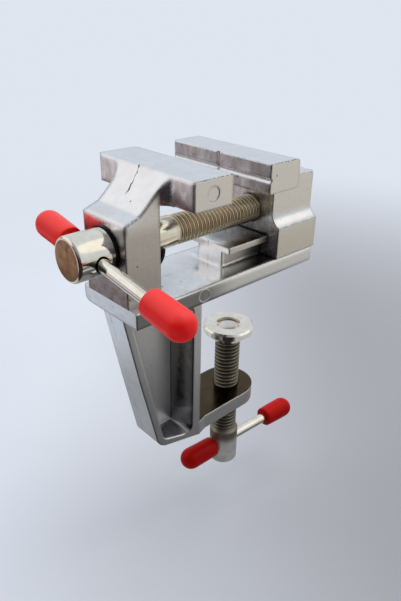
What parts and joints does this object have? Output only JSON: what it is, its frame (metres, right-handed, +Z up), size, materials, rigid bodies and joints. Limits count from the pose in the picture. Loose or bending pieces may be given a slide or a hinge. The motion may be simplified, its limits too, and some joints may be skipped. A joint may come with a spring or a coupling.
{
  "type": "mini bench vise",
  "caption": "Small clamp-on bench vise: cast body with fixed jaw and table clamp, sliding jaw on a T rail, screws turned by sliding bars with domed grips.",
  "frame": {"origin": "on the bed's flat underside, on the clamp screw's axis", "axes": "+Y back over the table, along the main screw away from its handle; +Z up; +X to the right of someone who faces the handle"},
  "size_m": [0.054, 0.0826, 0.1023],
  "materials": {
    "casting": "polished die casting",
    "plated_steel": "nickel plated",
    "black_steel": "black oxide",
    "grip": "glossy vinyl"
  },
  "bodies": {
    "body": {"body_casting": "casting"},
    "moving_jaw": {"moving_jaw": "casting"},
    "main_screw": {"main_screw": "plated_steel", "head_washer": "black_steel", "thrust_washer": "plated_steel", "retaining_clip": "black_steel"},
    "handle": {"handle_bar": "plated_steel", "handle_grip_left": "grip", "handle_grip_right": "grip"},
    "clamp_pad": {"clamp_pad": "plated_steel"},
    "clamp_screw": {"clamp_screw": "plated_steel"},
    "clamp_handle": {"clamp_bar": "plated_steel", "clamp_grip_front": "grip", "clamp_grip_rear": "grip"}
  },
  "joints": [
    {"name": "screw_turn", "type": "hinge", "parent": "body", "child": "main_screw", "pos_m": [0, -0.0363, 0.01635], "axis": [0, 1, 0], "range_deg": [-2880, 3600]},
    {"name": "jaw_slide", "type": "slide", "parent": "body", "child": "moving_jaw", "axis": [0, 1, 0], "range_m": [-0.01251, 0.01001]},
    {"name": "handle_slide", "type": "slide", "parent": "main_screw", "child": "handle", "axis": [0.9888, 0, -0.1495], "range_m": [-0.0164, 0.0018]},
    {"name": "clamp_lift", "type": "slide", "parent": "body", "child": "clamp_pad", "axis": [0, 0, 1], "range_m": [-0.01626, 0.01126]},
    {"name": "clamp_turn", "type": "hinge", "parent": "clamp_pad", "child": "clamp_screw", "pos_m": [0, 0, -0.04115], "axis": [0, 0, 1], "range_deg": [-4680, 3240]},
    {"name": "clamp_handle_slide", "type": "slide", "parent": "clamp_screw", "child": "clamp_handle", "axis": [0.0523, 0.9986, 0], "range_m": [-0.0143, 0]}
  ],
  "couplings": [
    {"joint": "jaw_slide", "follows": "screw_turn", "m_per_rad": -0.00019894},
    {"joint": "clamp_lift", "follows": "clamp_turn", "m_per_rad": 0.00019894}
  ]
}
